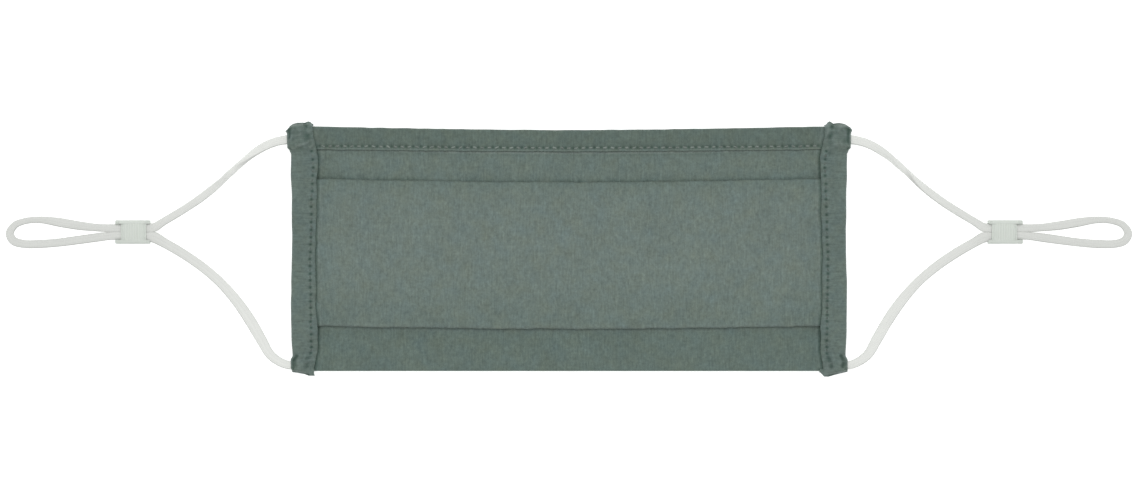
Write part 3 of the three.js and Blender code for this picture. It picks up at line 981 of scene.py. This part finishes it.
def row_relief(kind, x, y, from_row, drawn, shown=1, seed=0):
    """How a row of stitches draws in the cloth, and the swell of that cloth."""
    hole_depth, groove_depth, groove_width, reach = STITCHED_ROWS[kind]
    relief = wave(f"{kind}_gathers", x, y, seed) * fade(from_row, reach)
    relief = relief + wave(f"{kind}_swell", x, y, seed) - hole_depth * drawn
    return relief - groove_depth * band(from_row, groove_width) * shown


def turned_path(outer, inner, under, under_edge):
    """The outer skin of a strip turned over an edge, from the floor to its inner edge.

    All four are columns, a row for each section.
    """
    foot = np.linspace(0, 1, FOOT_STEPS + 1)[None, :-1]
    bend = np.linspace(0, math.pi / 2, BEND_STEPS + 1)[None, :]
    top = under + WALL
    width = outer - inner
    first, last = HEM_BEND / width, 1 - WALL / 2 / width
    share = first + (last - first) * np.linspace(0, 1, FRONT_STEPS + 1)[None, 1:]
    out = [
        outer + 0 * foot,
        outer - HEM_BEND + HEM_BEND * np.cos(bend),
        outer - share * width,
    ]
    lift = [
        (top - HEM_BEND) * foot,
        top - HEM_BEND + HEM_BEND * np.sin(bend),
        under_edge + (under - under_edge) * eased(share, UNDER_STEP) + WALL,
    ]
    return np.stack([np.concatenate(out, 1), pressed(np.concatenate(lift, 1))], -1)


def front_share(path):
    """Which of a turned strip's points are on its front: 0 on the foot, 1 past the bend."""
    points = np.arange(path.shape[1])[None, :]
    return smooth(FOOT_STEPS + FRONT_FROM, FOOT_STEPS + BEND_STEPS, points)


# The top hem's stitches: their place above its edge, and how far they stray along and across it
STITCH_INSET = 1.55
END_MARGIN = 1
TOP_ALONG = 0.07
TOP_ACROSS = 0.05
# Painted shade in the top hem's stitch holes
TOP_HOLE_SHADE = 0.42

# The top hem puffs up between these distances above its edge, and drops at the edge
PUFF_HEIGHT = 0.2
PUFF_RISE = (2, 4)
PUFF_FALL = (5.5, 7.6)
EDGE_DROP = 0.25
EDGE_DROP_REACH = 0.7
# Painted highlight along the top hem's lip, and its width
TOP_LIP_HIGHLIGHT = 0.32
LIP_WIDTH = 0.9

# Where and how much the painted seam shadows beside the side hems fade on the top hem
SEAM_FADE = (36.5, 39)
SEAM_LOST = 0.6


def hem_edge(x):
    return TOP_EDGE - HEM_HEIGHT - HEM_EDGE_SAG * sag_share(x)


def hem_holes():
    count = round(2 * (SIDE_INNER - END_MARGIN) / STITCH_PITCH)
    draw = np.random.default_rng(21)
    x = (np.arange(count + 1) - count / 2) * STITCH_PITCH + draw.normal(0, TOP_ALONG, count + 1)
    return np.stack([x, hem_edge(x) + STITCH_INSET + draw.normal(0, TOP_ACROSS, count + 1)], 1)


def make_top_hem():
    x = np.linspace(-PANEL_END, PANEL_END, round(2 * PANEL_END / HEM_ROW_STEP) + 1)[:, None]
    fold = TOP_EDGE - TOP_SAG * sag_share(x) + wave("top_fold", x, 0)
    edge = hem_edge(x) + wave("top_edge", x, 0)
    over_sheet = LAYER_STEP + 0 * x
    path = turned_path(fold, edge, over_sheet, over_sheet)
    y = path[..., 0]
    holes = hem_holes()
    drawn = stitch_relief(x, y, holes)
    above_edge = y - edge
    puff = smooth(*PUFF_RISE, above_edge) * (1 - smooth(*PUFF_FALL, above_edge))
    relief = PUFF_HEIGHT * puff + row_relief("top", x, y, above_edge - STITCH_INSET, drawn)
    relief = relief - EDGE_DROP * fade(above_edge, EDGE_DROP_REACH)
    on_front = front_share(path)
    points = across_mask(x, shell_rings(path, on_front * relief, HEM_CLOTH))
    # Painted highlight along the lip, painted shade in the stitch holes and along the seams
    lip = 1 + TOP_LIP_HIGHLIGHT * band(above_edge, LIP_WIDTH) * on_front
    skin = (1 - TOP_HOLE_SHADE * drawn * on_front) * lip
    skin = skin * seam_shade(x, y, 1 - SEAM_LOST * smooth(*SEAM_FADE, y))
    weave = cotton("top_hem_weave", SHADED_TOP_HEM_COLOUR)
    return cloth_mesh("top_hem_cloth", points, x, skin, "top_hem", weave), holes


# A side hem's folds near its ends: distance outwards and height of both ends, width and rise
SIDE_FOLDS = {
    "left": [
        (100.5, 43.7, 101, 40.3, 0.75, -0.9), (95.3, 45.2, 94.6, 44.2, 0.5, -0.7),
        (94.1, 40.9, 94.2, 40.6, 0.75, -0.8), (95.2, 44, 95, 37.8, 0.8, -0.25),
        (99.3, 36.2, 97.5, 37.5, 0.7, 0.5), (97.5, 37.5, 94.8, 37.8, 0.7, 0.5),
        (94.8, 37.8, 93.3, 36.8, 0.7, 0.5), (97.2, 36.2, 95.8, 36.3, 0.8, -0.22),
        (100, 40.6, 99.9, 40.2, 0.7, 0.6), (101.2, 36.2, 100.3, 35.9, 0.5, -0.6),
        (98.1, -38.6, 99.1, -39.9, 0.55, -0.9), (99.8, -40.3, 99.3, -43.9, 0.65, -0.7),
        (98.7, -41.5, 98.6, -42, 0.5, -0.45), (94.6, -39.4, 93.1, -38.7, 0.45, -0.4),
        (94.35, -41.6, 94.3, -42.3, 0.45, -0.65), (95.5, -45, 94.1, -45.3, 0.4, -0.8),
        (96.9, -39.8, 96.9, -43.3, 1, 0.4),
    ],
    "right": [
        (100.7, 43.9, 101, 38.8, 0.8, -1), (95.4, 45.3, 94.9, 44.2, 0.6, -0.9),
        (94.1, 40.9, 94, 40.5, 0.7, -0.6), (94.4, 43.6, 94.2, 37.8, 0.7, -0.25),
        (98.9, 37.4, 95.2, 37.9, 0.8, 0.4), (93.4, 44.3, 93.1, 41, 0.7, 0.35),
        (100, 39.2, 99.4, 38.7, 0.7, -0.4), (101.2, 36.5, 100.6, 36, 0.5, -0.8),
        (94, 34.7, 93.7, 34.3, 0.5, -0.4), (98, -38.4, 98.7, -39.8, 0.5, -0.9),
        (98.9, -41.2, 98.6, -42.3, 0.55, -0.8), (99.9, -40.6, 99.9, -43.6, 0.6, -0.5),
        (93.4, -38.9, 93.8, -40.2, 0.5, -0.6), (94.3, -41.9, 94.4, -42.5, 0.5, -0.45),
        (95.3, -45.2, 93.9, -45.4, 0.5, -0.7), (92.6, -43, 92.9, -45, 0.8, 0.3),
    ],
}

# Heights along a side hem, and the lift of its underside, near the outer fold and at the inner
# edge, how far the outer fold bulges and how far the inner edge steps outwards
SIDE_UNDER = [
    (-45.8, 3.2), (-40.6, 3.2), (-36.5, 2.4), (-27.4, 3.9), (24.8, 3.9), (31, 2.8), (33.5, 2.8),
    (39, 4.2), (45.8, 4.2),
]
SIDE_UNDER_EDGE = [
    (-45.8, 1.3), (-36, 1.3), (-28, 3.9), (25.6, 3.9), (30.5, 1.6), (33.5, 1.6), (38, 2.6),
    (45.8, 2.6),
]
MIDDLE_BULGE = [
    (-39.8, 0.4), (-38.4, -0.3), (-34, -0.03), (-26, 0.13), (-15, 0.13), (-4.3, -0.01),
    (6.6, -0.14), (17, -0.12), (28, 0.28), (34.2, 0.25), (35.6, 0.75), (36.5, 1.55),
]
SIDE_BULGE = {
    "left": [
        (-45.8, -0.1), (-44.8, 0), (-43.2, 0.4), *MIDDLE_BULGE, (41.6, 1.6), (43, 2.2), (45.8, 2),
    ],
    "right": [(-45.8, 0.6), (-43.2, 0.5), *MIDDLE_BULGE, (41.6, 1.55), (43, 2), (45.8, 1.8)],
}
MOST_NARROWING = [
    (-41.1, 0.85), (-39.4, 0.5), (-37, 0.05), (-35, 0), (-31, 0.1), (-28, -0.1), (-20, 0.65),
    (-13, 0.5), (-3, 0.85), (5, 0.6), (14, 0.2), (24, 0.2), (28, 0.05), (33, -0.15), (35.6, 0.3),
    (38.5, 0.9), (41.3, 1.45), (44, 1.8),
]
SIDE_NARROWING = {
    "left": [(-45.6, 1.25), (-43.1, 1.15), *MOST_NARROWING],
    "right": [(-45.6, -0.5), (-43.7, -0.3), (-43.1, 1.1), *MOST_NARROWING],
}

# Heights along a side hem, and how far out its row of stitches is there
STITCH_LINE = [
    (-38, 93.05), (-35, 92.9), (-26, 92.95), (-15, 93.08), (-4.3, 93.4), (6.6, 92.93), (17.4, 92.7),
    (30, 92.15), (32.8, 92.35), (35.3, 92.85),
]

# Distances outwards, and the height of a side hem's end there
TOP_PROFILES = {
    "left": [
        (90, 44.5), (92.1, 44.7), (92.5, 45.1), (93.3, 45.9), (94.1, 46.15), (94.7, 46),
        (95.3, 45.65), (96.3, 45.7), (98.1, 45.65), (99.7, 45.2), (100.8, 44.4), (102, 42.9),
    ],
    "right": [
        (90, 44.5), (92.1, 44.6), (92.6, 44.8), (93.5, 45.9), (94.1, 46.2), (94.8, 45.8),
        (95.4, 45.35), (97.5, 45.6), (99.3, 45.3), (100.6, 44.6), (101.4, 44.1), (102.2, 43.5),
    ],
}
BOTTOM_PROFILES = {
    "left": [
        (90, -44), (91.15, -44), (91.75, -45.7), (94, -45.7), (95.5, -45.1), (98.1, -44.6),
        (99.9, -44.4), (100.8, -43.7),
    ],
    "right": [
        (90, -44), (90.1, -44), (91.3, -45.1), (92.1, -46), (93.7, -46.05), (95.5, -45.5),
        (97.7, -44.9), (100.5, -44.25),
    ],
}

# Where the elastic leaves a side hem: height and lift, and the opening with its painted shade
EXIT_SPOTS = [(39.75, 2.2), (-41.7, 1.85)]
EXIT_WIDTH = 1.8
EXIT_HEIGHT = 0.8
EXIT_DEPTH = 0.4
EXIT_SHADE = 0.25
EXIT_REACH = 1.2

# A side hem's ends: where they begin, how they are pressed shut and where they fill to the floor
LOW, HIGH = BOTTOM_EDGE + 2, TOP_EDGE - 2
END_ROWS = 16
TOP_CLOSING = (0.45, 1)
BOTTOM_CLOSING = (0.5, 1)
CLOSED_SHARE = 0.72
CLOSING_POWER = 1.5
FILLED_PAST = 0.15
FILLED_LIFT = 0.03

# The side hems' stitches: where they begin and end, how far they stray and where they fade
FIRST_HOLE = 35.3
LAST_HOLE = -36.5
PITCH_ENDS = (-36, 34)
SIDE_ALONG = 0.08
SIDE_ACROSS = 0.06
STITCHED_FROM = (-40, -38)
STITCHED_TO = (35.5, 36.5)
# Painted shade in the side hems' stitch holes, and painted light along their groove
SIDE_HOLE_SHADE = 0.62
SIDE_GROOVE_LIGHT = 0.09

# The thick blocks at a side hem's corners, with painted light and shade that follow their lumps
LOWER_BLOCK = (-40, -38)
UPPER_BLOCK = (35, 37)
BLOCK_LUMPS = 0.13
BLOCK_SHADE = 0.05

# A side hem's largest relief, painted shade in folds and at its inner edge, painted light on ridges
MOST_RELIEF = 0.6
SUNK_SHADE = 0.5
RAISED_LIGHT = 0.2
INNER_RIM_SHADE = 0.22
RIM_WIDTH = 0.4
# Painted light on the outer fold
OUTER_FOLD_HIGHLIGHT = 0.2


def segment_distance(x, y, start_x, start_y, end_x, end_y):
    run, rise = end_x - start_x, end_y - start_y
    share = np.clip(((x - start_x) * run + (y - start_y) * rise) / (run**2 + rise**2), 0, 1)
    return np.hypot(x - start_x - share * run, y - start_y - share * rise)


def side_holes(seed):
    """The holes of a side hem's row of stitches, outwards from the middle and upwards."""
    draw = np.random.default_rng(seed)
    y = [FIRST_HOLE]
    while y[-1] > LAST_HOLE:
        y.append(y[-1] - np.interp(y[-1], PITCH_ENDS, (SIDE_PITCH_LOW, SIDE_PITCH_HIGH)))
    y = np.array(y) + draw.normal(0, SIDE_ALONG, len(y))
    x = joined(y, STITCH_LINE) + draw.normal(0, SIDE_ACROSS, len(y))
    return np.stack([x, y], 1)


def side_rows():
    """Heights of a side hem's sections, closer together at both ends."""
    bottom = np.linspace(BOTTOM_END, LOW, END_ROWS)[:-1]
    top = np.linspace(HIGH, TOP_END, END_ROWS)
    return np.concatenate([bottom, np.arange(LOW, HIGH, HEM_ROW_STEP), top])[:, None]


def side_shape(hand, seed):
    """A side hem's outer skin: distances outwards, heights, lifts and where its inner edge is."""
    row = side_rows()
    outer = SIDE_OUTER + eased(row, SIDE_BULGE[hand]) + wave("side_fold", 0, row, seed)
    inner = side_inner(hand, row) + wave("side_edge", 0, row, seed)
    dip = CENTRE_DIP * centre_share(row)
    under = eased(row, SIDE_UNDER) - dip
    under_edge = eased(row, SIDE_UNDER_EDGE) - dip
    path = turned_path(outer, inner, under, under_edge)
    x = path[..., 0]
    bottom_share = np.clip((LOW - row) / (LOW - BOTTOM_END), 0, 1)
    top_share = np.clip((row - HIGH) / (TOP_END - HIGH), 0, 1)
    y = row + top_share * (joined(x, TOP_PROFILES[hand]) - TOP_END)
    y = y + bottom_share * (joined(x, BOTTOM_PROFILES[hand]) - BOTTOM_END)
    closing = smooth(*TOP_CLOSING, top_share), smooth(*BOTTOM_CLOSING, bottom_share)
    path[..., 1] *= 1 - CLOSED_SHARE * np.maximum(*closing) ** CLOSING_POWER
    return row, path, y, inner


def exit_openings(x, y, lift):
    mouth = np.zeros(y.shape)
    for exit_height, exit_lift in EXIT_SPOTS:
        spot = band(y - exit_height, EXIT_WIDTH, 4) * band(lift - exit_lift, EXIT_HEIGHT, 4)
        mouth = np.maximum(mouth, spot)
    return mouth * smooth(SIDE_OUTER - EXIT_REACH, SIDE_OUTER, x)


def make_side_hem(hand, side, seed):
    row, path, y, inner = side_shape(hand, seed)
    x, lift = path[..., 0], path[..., 1]
    holes = side_holes(seed + 2)
    stitched = smooth(*STITCHED_FROM, y) * (1 - smooth(*STITCHED_TO, y))
    drawn = stitch_relief(x, y, holes) * stitched
    from_row = x - joined(y, STITCH_LINE)
    groove = band(from_row, STITCHED_ROWS["side"][2]) * stitched
    folds = np.zeros(y.shape)
    for *ends, width, rise in SIDE_FOLDS[hand]:
        folds += rise * band(segment_distance(x, y, *ends), width)
    on_block = np.maximum(smooth(*UPPER_BLOCK, y), 1 - smooth(*LOWER_BLOCK, y))
    uneven = wave("side_blocks", x, y, seed) * on_block
    mouth = exit_openings(x, y, lift)
    on_front = front_share(path)
    relief = row_relief("side", x, y, from_row, drawn, stitched, seed)
    relief = relief + folds + BLOCK_LUMPS * uneven
    relief = np.clip(on_front * relief, -MOST_RELIEF, MOST_RELIEF) - EXIT_DEPTH * mouth
    rings = shell_rings(path, relief, HEM_CLOTH)

    count = path.shape[1]
    extra = rings.shape[1] - 2 * count
    height = np.concatenate([y, np.repeat(y[:, -1:], extra, 1), y[:, ::-1]], 1)
    filled = (height > TOP_EDGE + FILLED_PAST) | (height < BOTTOM_EDGE - FILLED_PAST)
    filled[:, : count + extra // 2] = False
    rings[..., 1] = np.where(filled, FILLED_LIFT, np.maximum(rings[..., 1], 0))
    points = np.stack([side * rings[..., 0], height, rings[..., 1]], -1)

    # Painted shade in the stitch holes and the opening, painted light and shade on the lumps
    skin = (1 - SIDE_HOLE_SHADE * drawn) * (1 - EXIT_SHADE * mouth) * (1 + BLOCK_SHADE * uneven)
    sunk, raised = np.clip(-folds, 0, 1), np.clip(folds, 0, 1)
    # Painted shade in folds and at the inner rim, painted light on ridges, the groove and outer
    # fold
    skin *= (1 - SUNK_SHADE * sunk * on_front) * (1 + RAISED_LIGHT * raised * on_front)
    skin *= 1 - INNER_RIM_SHADE * band(x - inner, RIM_WIDTH) * on_front
    skin *= (1 + OUTER_FOLD_HIGHLIGHT * (1 - on_front)) * (1 + SIDE_GROOVE_LIGHT * groove * on_front)
    name, node = f"{hand}_casing_cloth", f"{hand}_side_hem"
    weave = cotton(f"{node}_weave", SHADED_CASING_COLOUR)
    return cloth_mesh(name, points, row, skin, node, weave), holes * (side, 1)


# A stitch: the points of its thread, the part of the way between its holes and its arch
THREAD_POINTS = 8
THREAD_STATIONS = 9
BASE_SHARES = (0.35, 0.5, 0.65)
STITCH_START = 0.21
STITCH_SPAN = 0.58
STITCH_SINK = 0.15
ARCH_POWER = 0.55
THREAD_TAPER = 0.3
THREAD_FLATNESS = 0.8
THREAD_TURN = 0.14
THREAD_VARIES = (0.8, 1.15)
RAY_START_M = 0.1


def make_stitches(name, hem, holes, rise, colour, seed):
    """Threads that come up through each hole and go down through the next."""
    draw = np.random.default_rng(seed)
    tree = BVHTree.FromObject(hem, bpy.context.evaluated_depsgraph_get())

    def lift_at(x, y):
        hit = tree.ray_cast(Vector((x * MM, y * MM, RAY_START_M)), Vector((0, 0, -1)))[0]
        return hit.z / MM

    rings = []
    angles = TURN * np.arange(THREAD_POINTS) / THREAD_POINTS
    shares = np.linspace(0, 1, THREAD_STATIONS)
    arch = np.sin(math.pi * shares) ** ARCH_POWER
    for start, end in zip(holes, holes[1:]):
        along = end - start
        aside = np.array([-along[1], along[0]]) / np.linalg.norm(along)
        base = max(lift_at(*(start + along * share)) for share in BASE_SHARES)
        low = min(lift_at(*start), lift_at(*end)) - STITCH_SINK
        middle = start + along * (STITCH_START + STITCH_SPAN * shares[:, None])
        middle = middle + aside * draw.normal(0, THREAD_TURN) * (2 * shares[:, None] - 1)
        lift = low + (base + rise - low) * arch
        radius = THREAD_RADIUS * (1 - THREAD_TAPER * (1 - arch)) * draw.uniform(*THREAD_VARIES)
        ring = np.zeros((len(shares), len(angles), 3))
        ring[..., :2] = middle[:, None] + (radius[:, None] * np.cos(angles))[..., None] * aside
        ring[..., 2] = lift[:, None] + radius[:, None] * THREAD_FLATNESS * np.sin(angles)
        rings.append(ring)
    around = TURN * THREAD_RADIUS * np.arange(THREAD_POINTS + 1) / THREAD_POINTS
    threads = []
    for index, ring in enumerate(rings):
        along = (index + shares) * STITCH_PITCH
        shade = np.full(ring.shape[:2], draw.uniform(*THREAD_VARIES))
        threads.append(ring_mesh(f"{name}_{index}", ring, around, along, shade))
    with bpy.context.temp_override(active_object=threads[0], selected_editable_objects=threads):
        bpy.ops.object.join()
    row = threads[0]
    row.name = name
    row.data.materials.append(thread(f"{name}_thread", colour))
    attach(row, "root")
    return row


# How high the stitches' arches rise. Those of the side hems lie in their groove.
TOP_STITCH_RISE = 0.2
SIDE_STITCH_RISE = -0.08


def make_cloth():
    panel, flat = make_panel()
    top_hem, top_holes = make_top_hem()
    top_stitches = make_stitches(
        "top_hem_stitches", top_hem, top_holes, TOP_STITCH_RISE, TOP_THREAD_COLOUR, seed=26
    )
    with_it = [top_hem, top_stitches]
    for hand, side, seed in (("left", -1, 31), ("right", 1, 41)):
        hem, holes = make_side_hem(hand, side, seed)
        name = f"{hand}_casing_stitches"
        stitches = make_stitches(name, hem, holes, SIDE_STITCH_RISE, SIDE_THREAD_COLOUR, seed + 6)
        with_it += [hem, stitches]


add_camera()
make_both_ear_loops()
make_cloth()
add_surroundings()
